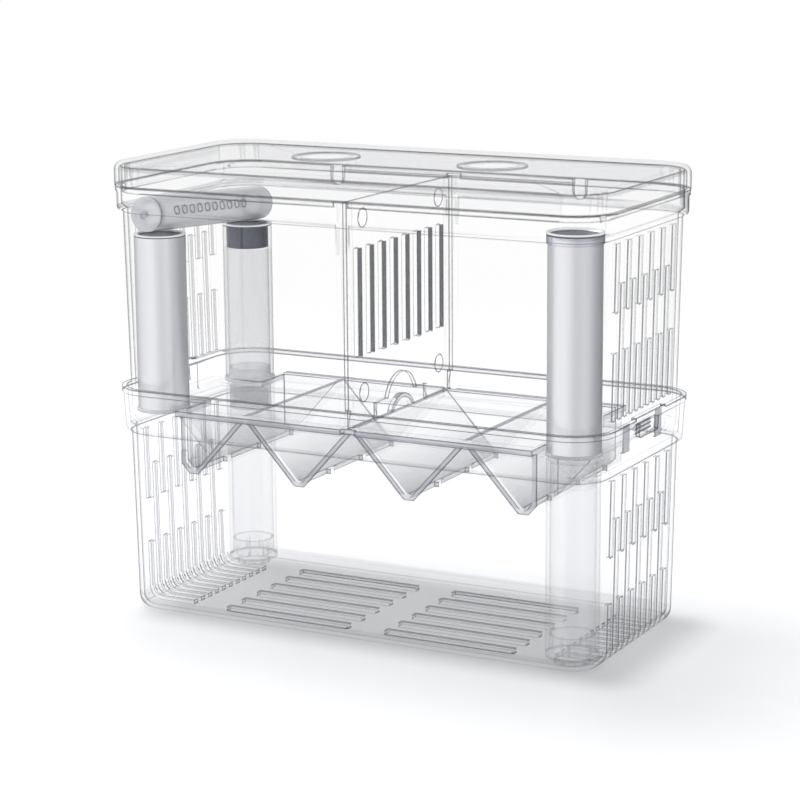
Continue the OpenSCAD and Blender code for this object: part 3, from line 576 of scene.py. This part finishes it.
def grown(name, group, body, slot, **values):
    """Adds a plain mesh that a node group grows from the given inputs."""
    seed = bpy.data.objects.new(name + "_seed", bpy.data.meshes.new(name + "_seed"))
    bpy.context.scene.collection.objects.link(seed)
    growth = seed.modifiers.new("growth", "NODES")
    growth.node_group = group
    for socket in group.interface.items_tree:
        key = socket.name.replace(" ", "_").lower()
        if socket.in_out == "INPUT" and key in values:
            growth[socket.identifier] = values[key]
    bpy.context.view_layer.update()
    evaluated = seed.evaluated_get(bpy.context.evaluated_depsgraph_get())
    mesh = bpy.data.meshes.new_from_object(evaluated)
    mesh.name = name
    mesh.shade_smooth()
    piece = bpy.data.objects.new(name, mesh)
    bpy.context.scene.collection.objects.link(piece)
    bpy.data.objects.remove(seed)
    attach(piece, body)


# Painted shade: the walls of the divider's slots are drawn near black
divider_slot_shade = clear_plastic("painted shade on divider slot walls", film=0.9, body=(0.09, 0.095, 0.115),
                              edge=(0.04, 0.045, 0.055), edges=0.9, seen_from="outside")
moulding("divider", clear_plastic("clear divider", folds=0.1),
         areas=((divider_slot_shade, slot_walls(low_z=0.1055, high_z=0.1465, reach=0.0345)),))
mark_line = clear_plastic("ejector mark", film=0.42, body=(0.12, 0.13, 0.15), edges=0.3)
mark_y, mark_face_x = 0.0303, 0.0008
for name, mark_z in (("upper", 0.157), ("lower", 0.0923)):
    grown("ejector_marks_" + name, ring_row, node_body["divider"], node_slot["divider"], count=2,
          first_centre=(mark_face_x, -mark_y, mark_z), step=(0, 2 * mark_y, 0), facing=(1, 0, 0),
          ring_radius=0.0035, wire_radius=0.00018, finish=mark_line)

# Spawning tray: one thicker clear moulding of four V troughs, hung from the floor ledge of
# the upper box by its rail. The cut ends of its sloping panels and its rail look grey, because
# they pass light along inside, so the end faces are split there and have their own finish.

valleys, ridges = (-0.069, -0.023, 0.023, 0.069), (-0.046, 0, 0.046)
valley_half, ridge_half = 0.0012, 0.001
tray_top, tray_inner_low = 0.0803, 0.0575
panel_run, panel_thick = 0.0208, 0.002
panel_slope = (tray_top - tray_inner_low) / panel_run
panel_shift = panel_thick / math.sin(math.atan(panel_slope))   # its thickness, measured along x
outline = 0.0006
notch_x = 0.0744
end_band_x = notch_x - panel_thick
rail_low, rail_inner_y = tray_top - 0.0022, 0.0382
tray_splits = [((0, 0, tray_inner_low), (0, 0, 1)), ((0, 0, rail_low), (0, 0, 1))]
for side in (-1, 1):
    tray_splits.append(((0, side * rail_inner_y, 0), (0, 1, 0)))
    tray_splits += [((ridge + side * ridge_half, 0, 0), (1, 0, 0)) for ridge in ridges]
    tray_splits.append(((side * end_band_x, 0, 0), (1, 0, 0)))
    tray_splits += [((valley + side * (valley_half + beyond), 0, tray_inner_low), (-side * panel_slope, 0, 1))
                    for valley in valleys for beyond in (0, outline, panel_shift - outline, panel_shift)]


def within_panel(at):
    """How far past the inner face of the nearest panel a place on an end face is."""
    from_valley = min(abs(at.x - valley) for valley in valleys)
    return from_valley - valley_half - (at.z - tray_inner_low) / panel_slope


def panel_outline(at, normal):
    """Picks the outlines of the panel ends."""
    return (abs(normal.y) > 0.9 and tray_inner_low < at.z < rail_low and abs(at.x) < end_band_x
            and (0 < within_panel(at) < outline or panel_shift - outline < within_panel(at) < panel_shift))


def right_rail(at, normal):
    """Picks the rail of the right end, which hardly shows behind the float tube."""
    return at.x > notch_x + 0.0001 and at.z > rail_low - 0.0001


def panel_end(at, normal):
    """Picks the grey bands of the tray: panel ends, floor ends and the rail's upright edges."""
    if abs(normal.z) > 0.5 or (abs(normal.y) < 0.9 and at.z < rail_low):
        return False
    if at.z > rail_low:
        return at.y < 0 or abs(normal.x) > 0.9
    return abs(at.x) < notch_x + 0.0002 and (
        at.z < tray_inner_low or abs(at.x) > end_band_x or 0 < within_panel(at) < panel_shift)


def sloping_left(at, normal):
    """Picks the panel ends on the left of each valley, which get the darkest painted shade."""
    return panel_end(at, normal) and tray_inner_low < at.z < rail_low and at.x < min(
        valleys, key=lambda valley: abs(at.x - valley))


def ridge_or_back_rail(at, normal):
    """Picks the flat tops of the three ridges and of the rail along the back."""
    return normal.z > 0.9 and at.z > tray_top - 0.0002 and (
        at.y > rail_inner_y or (abs(at.y) < rail_inner_y
                                and min(abs(at.x - ridge) for ridge in ridges) < ridge_half + 0.00005))


def tray_underside(at, normal):
    """Picks the lower faces of the tray's panels, whose edges repeat those of the upper faces."""
    return normal.z < -0.1


# Painted shade: panels that slope up towards the left are drawn darker, darkest near their foot, and the
# panel ends left of each valley darker than the rest
tray_clear = clear_plastic("clear tray", film=0.2, body=(0.95, 0.955, 0.97), folds=0.1, slants=0.12,
                           tilt_shading=0.55, seen_from="outside")
shaded_tray_ends = clear_plastic("shaded tray edges", film=0.6, body=(0.3, 0.32, 0.36), edge=(0.08, 0.086, 0.105),
                          seen_from="outside")
tray_ridge = clear_plastic("ridge tops", film=0.75, body=(0.2, 0.215, 0.25), seen_from="outside")
tray_line = clear_plastic("panel outlines", film=0.8, body=(0.14, 0.15, 0.18), edges=0.9,
                          seen_from="outside")
tray_faint = clear_plastic("right rail", film=0.03, edges=0.12, folds=0, slants=0, seen_from="outside")
tray_below = clear_plastic("underside of the tray", film=0.12, body=(0.93, 0.935, 0.95), edges=0.25,
                           folds=0, slants=0.1, seen_from="outside")
tray_edge = clear_plastic("tray edges", film=0.5, body=(0.42, 0.44, 0.49), edge=(0.1, 0.108, 0.13),
                          seen_from="outside")
moulding("spawning_tray", tray_clear, splits=tray_splits, areas=(
    (tray_faint, right_rail), (tray_line, panel_outline), (shaded_tray_ends, sloping_left), (tray_edge, panel_end),
    (tray_ridge, ridge_or_back_rail), (tray_below, tray_underside)))

# Float tubes: extruded translucent tubes with a satin, silvery skin, shut by stoppers or a
# cap at the top and by a foot cap that stands on the corner plates of the floor.


def tube_skin_group():
    """Satin tube: darker where its wall is seen aslant, with faint lines drawn along it."""
    group = bpy.data.node_groups.new("tube skin", "ShaderNodeTree")
    for name, value in (("Facing", 0.3), ("Film", 0.9), ("Limb", 0.95), ("Lines", 0.1),
                        ("Clear Above", 1.0)):
        new_socket(group, name, "INPUT", "NodeSocketFloat", value)
    new_socket(group, "Body Colour", "INPUT", "NodeSocketColor", (0.7, 0.72, 0.75, 1))
    new_socket(group, "Limb Colour", "INPUT", "NodeSocketColor", (0.3, 0.32, 0.36, 1))
    new_socket(group, "Rim Colour", "INPUT", "NodeSocketColor", (0.9, 0.9, 0.92, 1))
    new_socket(group, "Colour", "OUTPUT", "NodeSocketColor")
    new_socket(group, "Alpha", "OUTPUT", "NodeSocketFloat")
    new_socket(group, "Normal", "OUTPUT", "NodeSocketVector")
    n = group.nodes
    entry = n.new("NodeGroupInput")
    leave = n.new("NodeGroupOutput")
    place = n.new("ShaderNodeTexCoord")
    drawn = n.new("ShaderNodeMapping")
    drawn.inputs["Scale"].default_value = (700, 700, 6)
    wire(group, place.outputs["Object"], drawn.inputs["Vector"])
    lines = noise(group, drawn.outputs["Vector"], scale=1, detail=2)
    rounded, edge = bend_of_surface(group, radius=0.00035, low=0.99, high=0.9)
    wire(group, bumped(group, entry.outputs["Lines"], 0.0001, lines, rounded), leave.inputs["Normal"])
    limb = spread(group, entry.outputs["Facing"], 0.45, 0.95, smooth=True)
    shade = mixed(group, "RGBA", calc(group, "MAXIMUM", limb, edge), entry.outputs["Body Colour"],
                  entry.outputs["Limb Colour"])
    # The cut end that faces up has the rim's colour, near white on the pale tubes as a painted highlight
    shape = n.new("ShaderNodeNewGeometry")
    top = spread(group, axes_of(group, shape.outputs["Normal"])["Z"], 0.85, 0.95)
    wire(group, mixed(group, "RGBA", top, shade, entry.outputs["Rim Colour"]), leave.inputs["Colour"])
    # Where the plug presses on the wall, the tube looks clear
    height = axes_of(group, place.outputs["Object"])["Z"]
    plugged = calc(group, "GREATER_THAN", height, entry.outputs["Clear Above"])
    open_film = calc(group, "MULTIPLY", entry.outputs["Film"],
                     calc(group, "SUBTRACT", 1, calc(group, "MULTIPLY", plugged, 0.95)))
    solid = calc(group, "MAXIMUM", calc(group, "MAXIMUM", limb, edge), top)
    wire(group, mixed(group, "FLOAT", solid, open_film, entry.outputs["Limb"]), leave.inputs["Alpha"])
    return group


tube_skin = tube_skin_group()


def tube_plastic(name, colour, limb_colour, film=1.0, limb=1.0, rough=0.3, sheen=0.4, metal=0.0,
                 rim=(0.92, 0.93, 0.94), clear_above=1.0, shine=0.5):
    """A finish of the tubes: film is how much a face hides, limb how much its sides do, which
    are darker, rim the colour of a cut end that faces up, near white by default as a painted
    highlight, and clear_above the height of a plug inside."""
    material, nodes, plastic, _ = new_material(name)
    tree = material.node_tree
    skin = nodes.new("ShaderNodeGroup")
    skin.node_tree = tube_skin
    for socket, value in (("Film", film), ("Limb", limb), ("Lines", 0.1), ("Clear Above", clear_above),
                          ("Body Colour", (*colour, 1)), ("Limb Colour", (*limb_colour, 1)),
                          ("Rim Colour", (*rim, 1))):
        skin.inputs[socket].default_value = value
    seen_aslant = nodes.new("ShaderNodeLayerWeight")
    seen_aslant.inputs["Blend"].default_value = 0.5
    wire(tree, seen_aslant.outputs["Facing"], skin.inputs["Facing"])
    wire(tree, skin.outputs["Colour"], plastic.inputs["Base Color"])
    wire(tree, skin.outputs["Normal"], plastic.inputs["Normal"])
    if film < 1:
        wire(tree, skin.outputs["Alpha"], plastic.inputs["Alpha"])
    plastic.inputs["Roughness"].default_value = rough
    plastic.inputs["Metallic"].default_value = metal
    plastic.inputs["Coat Weight"].default_value = sheen
    plastic.inputs["Coat Roughness"].default_value = 0.08
    plastic.inputs["Specular IOR Level"].default_value = shine
    return material


tube_x, tube_y = 0.08585, 0.03185   # the middle of each upper tube, from the middle of the box


def cap_dish(at, normal):
    """Picks the dish in the top of the front right cap, which is drawn dark as painted shade."""
    out_x, out_y = at.x - tube_x, at.y + tube_y
    out = math.hypot(out_x, out_y)
    inward = normal.x * out_x + normal.y * out_y < 0
    return (normal.z > 0.3 and out < 0.0088) or (abs(normal.z) < 0.3 and inward and out > 0.002)


def top_band(node, deep, wide):
    """The two planes that part off the rim of a tube or a cap and the shaded line below the rim,
    and the tests that pick the rim and the line."""
    top = max(vertex.co.z for vertex in frame["nodes"][node].data.vertices)

    def rim(at, normal):
        return at.z > top - deep - 1e-5 and (normal.z > 0.3 or abs(normal.z) < 0.3)

    def line(at, normal):
        return top - deep - wide < at.z < top - deep and abs(normal.z) < 0.5
    return [((0, 0, top - deep), (0, 0, 1)), ((0, 0, top - deep - wide), (0, 0, 1))], rim, line


silver = tube_plastic("satin float tube", (0.86, 0.865, 0.88), (0.66, 0.67, 0.7), metal=0.9, rough=0.28,
                      sheen=0.0)
cloudy = tube_plastic("cloudy float tube", (0.9, 0.905, 0.92), (0.42, 0.43, 0.46), film=0.2, limb=0.5,
                      metal=0.95, clear_above=0.1318)
dark = tube_plastic("dark stopper", (0.15, 0.16, 0.185), (0.05, 0.055, 0.065), rough=0.22, sheen=0.0,
                    metal=0.85, rim=(0.1, 0.11, 0.13), shine=0.4)
shade_line = tube_plastic("line below a rim", (0.12, 0.13, 0.16), (0.1, 0.11, 0.13), film=0.9, limb=0.95,
                          rough=0.4, sheen=0.0, rim=(0.12, 0.13, 0.16), shine=0.2)
# Painted shade: the dish of the cap is drawn near black
dish_shade = tube_plastic("painted shade in the cap's dish", (0.1, 0.11, 0.14), (0.06, 0.066, 0.085), rough=0.3, sheen=0.0,
                         rim=(0.075, 0.083, 0.105), shine=0.5)
frosted = tube_plastic("frosted foot", (0.8, 0.81, 0.83), (0.42, 0.43, 0.46), film=0.35, limb=0.6,
                       rough=0.45, sheen=0.1)
pale = tube_plastic("pale lower tube", (0.9, 0.905, 0.92), (0.5, 0.51, 0.55), film=0.09, limb=0.2,
                    metal=0.9, rough=0.25, sheen=0.0, rim=(0.6, 0.61, 0.64))
mid_grey = tube_plastic("mid grey lower stopper", (0.4, 0.41, 0.44), (0.25, 0.26, 0.29), film=0.3,
                        limb=0.35, rough=0.4, rim=(0.6, 0.61, 0.63))
pale_grey = tube_plastic("pale grey lower stopper", (0.6, 0.61, 0.64), (0.4, 0.41, 0.44), film=0.05,
                         limb=0.1, rough=0.4)
clear_foot = clear_plastic("clear lower foot", film=0.05, edges=0.4, folds=0.1, slants=0.3)
cap_grey = tube_plastic("grey cap", (0.78, 0.8, 0.84), (0.2, 0.21, 0.24), rough=0.2, sheen=0.0,
                        metal=0.95, rim=(0.3, 0.32, 0.37))
# Painted highlight: the top band of each tube and of the cap is drawn near white
rim_highlight = tube_plastic("painted rim highlight", (0.98, 0.98, 0.985), (0.95, 0.95, 0.96), rough=0.2,
                         rim=(0.98, 0.98, 0.985))
for corner in ("front_left", "back_left", "front_right"):
    planes, rim, line = top_band("float_tube_" + corner, deep=0.0005, wide=0.0004)
    moulding("float_tube_" + corner, cloudy if corner == "back_left" else silver,
             areas=((rim_highlight, rim), (shade_line, line)), splits=planes)
    moulding("float_foot_" + corner, frosted)
moulding("float_stopper_front_left", dark)
moulding("float_stopper_back_left", dark)
planes, rim, line = top_band("float_cap_front_right", deep=0.0006, wide=0.0006)
moulding("float_cap_front_right", cap_grey,
         areas=((dish_shade, cap_dish), (rim_highlight, rim), (shade_line, line)), splits=planes)
for corner, stopper in (("back_left", mid_grey), ("front_right", pale_grey)):
    moulding("lower_float_tube_" + corner, pale)
    moulding("lower_float_stopper_" + corner, stopper)
    moulding("lower_float_foot_" + corner, clear_foot)

# Flow tube: a frosted tube with a row of small holes, laid across the two left float tubes
# and shut by a cap at each end, the front one with a nipple. Each hole has a raised ring round
# it, placed along the tube by Geometry Nodes.

flow_frosted = tube_plastic("frosted flow tube", (0.9, 0.905, 0.92), (0.5, 0.51, 0.54), film=0.4,
                            limb=0.75, metal=0.3, rough=0.35, sheen=0.0, rim=(0.88, 0.89, 0.9))
ring_grey = tube_plastic("hole rings", (0.3, 0.31, 0.34), (0.22, 0.23, 0.26), film=0.8, limb=0.85,
                         rough=0.4, sheen=0.0)
moulding("flow_tube", flow_frosted)
cap_frosted = tube_plastic("frosted flow cap", (0.88, 0.885, 0.9), (0.26, 0.27, 0.31), film=0.5,
                           limb=0.8, metal=0.2, rough=0.35, sheen=0.0, rim=(0.88, 0.89, 0.9))
moulding("flow_tube_front_cap", cap_frosted)
moulding("flow_tube_back_cap", cap_frosted)

flow_drop = 0.0043           # how much lower it lies on the back tube than on the front one
flow_slope = math.atan(flow_drop / (2 * tube_y))
flow_turn = math.radians(12)
flow_radius, flow_middle_z, flow_half = 0.00665, 0.15158, 0.041
hole_count, hole_pitch = 10, 0.0054
ring_sunk = 0.0001           # how deep the middle of a ring's wire lies in the tube
along = Vector((0, math.cos(flow_slope), -math.sin(flow_slope)))
outwards = Vector((math.cos(flow_turn), math.sin(flow_turn) * math.sin(flow_slope),
                   math.sin(flow_turn) * math.cos(flow_slope)))
before_middle = (hole_count - 1) / 2 * hole_pitch + flow_half / 8
first_hole = (Vector((-tube_x, 0, flow_middle_z)) - along * before_middle
              + outwards * (flow_radius - ring_sunk))
grown("flow_hole_rings", ring_row, "flow_tube", "flow_cap_frosted", count=hole_count,
      first_centre=first_hole, step=along * hole_pitch, facing=outwards, ring_radius=0.0016,
      wire_radius=0.00028, finish=ring_grey)

# Studio: a pale floor that fades into a white background, with a painted shadow round the
# box, one large soft lamp from the upper left and a weaker one from the right, and the camera
# where the photograph was taken from.

scene = bpy.context.scene
scene.view_settings.view_transform = "Standard"
scene.cycles.max_bounces = 16
scene.cycles.transmission_bounces = 8
scene.cycles.glossy_bounces = 6
scene.cycles.transparent_max_bounces = 64

floor_mesh = bpy.data.meshes.new("studio_floor")
floor_mesh.from_pydata([(-6, -6, 0), (6, -6, 0), (6, 6, 0), (-6, 6, 0)], [], [(0, 1, 2, 3)])
floor = bpy.data.objects.new("studio_floor", floor_mesh)
scene.collection.objects.link(floor)
floor.location.z = -0.0001
paper, nodes, surface, output = new_material("studio paper")
tree = paper.node_tree
surface.inputs["Roughness"].default_value = 0.35
surface.inputs["Specular IOR Level"].default_value = 0.3
rays = nodes.new("ShaderNodeLightPath")
where = nodes.new("ShaderNodeTexCoord")


def soft_patch(centre, half, reach, strength):
    """One minus a soft dark patch round a rectangle on the paper: a painted shadow."""
    place = nodes.new("ShaderNodeVectorMath")
    place.operation = "SUBTRACT"
    wire(tree, where.outputs["Object"], place.inputs[0])
    place.inputs[1].default_value = (*centre, 0)
    apart = axes_of(tree, place.outputs["Vector"])
    gaps = [calc(tree, "MAXIMUM", calc(tree, "SUBTRACT", calc(tree, "ABSOLUTE", apart[axis]), size))
            for axis, size in zip("XY", half)]
    gap = calc(tree, "SQRT", calc(tree, "ADD", calc(tree, "MULTIPLY", gaps[0], gaps[0]),
                                  calc(tree, "MULTIPLY", gaps[1], gaps[1])))
    patch = spread(tree, gap, reach, 0, smooth=True)
    return calc(tree, "SUBTRACT", 1, calc(tree, "MULTIPLY", patch, strength))


close_shade = soft_patch(centre=(0.012, -0.004), half=(0.088, 0.034), reach=0.022, strength=0.3)
wide_shade = soft_patch(centre=(0.03, -0.02), half=(0.085, 0.03), reach=0.09, strength=0.16)
shade = calc(tree, "MULTIPLY", close_shade, wide_shade)
tone = nodes.new("ShaderNodeCombineColor")
for channel, value in (("Red", 0.8), ("Green", 0.802), ("Blue", 0.815)):
    wire(tree, calc(tree, "MULTIPLY", shade, value), tone.inputs[channel])
wire(tree, tone.outputs["Color"], surface.inputs["Base Color"])
surface.inputs["Emission Color"].default_value = (1, 1, 1, 1)
wire(tree, calc(tree, "MULTIPLY", calc(tree, "MULTIPLY", rays.outputs["Is Camera Ray"], 0.25), shade),
     surface.inputs["Emission Strength"])
away = nodes.new("ShaderNodeVectorMath")
away.operation = "LENGTH"
wire(tree, where.outputs["Object"], away.inputs[0])
gone = nodes.new("ShaderNodeBsdfTransparent")
fade = nodes.new("ShaderNodeMixShader")
wire(tree, calc(tree, "MAXIMUM", spread(tree, away.outputs["Value"], 0.2, 0.75, smooth=True),
                rays.outputs["Is Glossy Ray"]), fade.inputs["Fac"])
wire(tree, surface.outputs["BSDF"], fade.inputs[1])
wire(tree, gone.outputs["BSDF"], fade.inputs[2])
wire(tree, fade.outputs["Shader"], output.inputs["Surface"])
floor_mesh.materials.append(paper)

# The room around it: white to the camera. Mirrored light finds a pale room, brightest at the
# front left, with a dim strip beside the camera and a dim wall on the right.

world = bpy.data.worlds.new("studio")
scene.world = world
world.use_nodes = True
tree = world.node_tree
sky = tree.nodes
sky.clear()
rays = sky.new("ShaderNodeLightPath")
white = sky.new("ShaderNodeBackground")
white.inputs["Color"].default_value = (1, 1, 1, 1)
look = sky.new("ShaderNodeTexCoord")
part = axes_of(tree, look.outputs["Generated"])
bearing = calc(tree, "ARCTAN2", part["Y"], part["X"])
walls = sky.new("ShaderNodeValToRGB")
walls.color_ramp.interpolation = "B_SPLINE"
room_walls = ((-180, 0.8), (-142, 1.02), (-105, 1.1), (-80, 0.86), (-58, 0.6), (-22, 0.86), (6, 0.6),
              (36, 0.3), (78, 0.3), (118, 0.5), (180, 0.8))
stops = walls.color_ramp.elements
while len(stops) < len(room_walls):
    stops.new(0.5)
for stop, (degrees, brightness) in zip(stops, room_walls):
    stop.position = degrees / 360 + 0.5
for stop, (degrees, brightness) in zip(stops, room_walls):
    stop.color = (brightness, brightness * 1.005, brightness * 1.02, 1)
wire(tree, spread(tree, bearing, -math.pi, math.pi), walls.inputs["Fac"])
room = sky.new("ShaderNodeBackground")
wire(tree, walls.outputs["Color"], room.inputs["Color"])
haze = sky.new("ShaderNodeBackground")
haze.inputs["Color"].default_value = (0.8, 0.805, 0.82, 1)
mirrored = sky.new("ShaderNodeMixShader")
wire(tree, rays.outputs["Is Glossy Ray"], mirrored.inputs["Fac"])
wire(tree, haze.outputs[0], mirrored.inputs[1])
wire(tree, room.outputs[0], mirrored.inputs[2])
blend = sky.new("ShaderNodeMixShader")
out = sky.new("ShaderNodeOutputWorld")
wire(tree, calc(tree, "MAXIMUM", rays.outputs["Is Camera Ray"], rays.outputs["Is Transmission Ray"]),
     blend.inputs["Fac"])
wire(tree, mirrored.outputs[0], blend.inputs[1])
wire(tree, white.outputs[0], blend.inputs[2])
wire(tree, blend.outputs[0], out.inputs["Surface"])


def soft_lamp(name, place, aim, size, power):
    light = bpy.data.lights.new(name, "AREA")
    light.shape = "RECTANGLE"
    light.size, light.size_y = size
    light.energy = power
    lamp = bpy.data.objects.new(name, light)
    lamp.location = place
    lamp.rotation_mode = "QUATERNION"
    lamp.rotation_quaternion = (Vector(aim) - Vector(place)).to_track_quat("-Z", "Y")
    scene.collection.objects.link(lamp)


box_middle = (0, 0, 0.08)
soft_lamp("key_softbox", place=(-1.0, 0.35, 0.9), aim=box_middle, size=(1.2, 1.2), power=10)
soft_lamp("fill_softbox", place=(0.9, -0.9, 0.7), aim=box_middle, size=(0.7, 0.7), power=3)

camera_data = bpy.data.cameras.new("camera")
camera_data.sensor_width = 36
camera_data.lens = 115.22
camera_data.clip_end = 30
camera = bpy.data.objects.new("camera", camera_data)
scene.collection.objects.link(camera)
# Its place and its axes, fitted to the outlines of the rims in the photograph
right = Vector((0.88469602, 0.4661139, -0.00712576))
up = Vector((-0.09216107, 0.18986729, 0.97747468))
back = Vector((0.45696748, -0.86411124, 0.2109324))
turn = Matrix((right, up, back)).transposed().to_4x4()
camera.matrix_world = Matrix.Translation((0.442886, -0.838182, 0.287968)) @ turn
scene.camera = camera
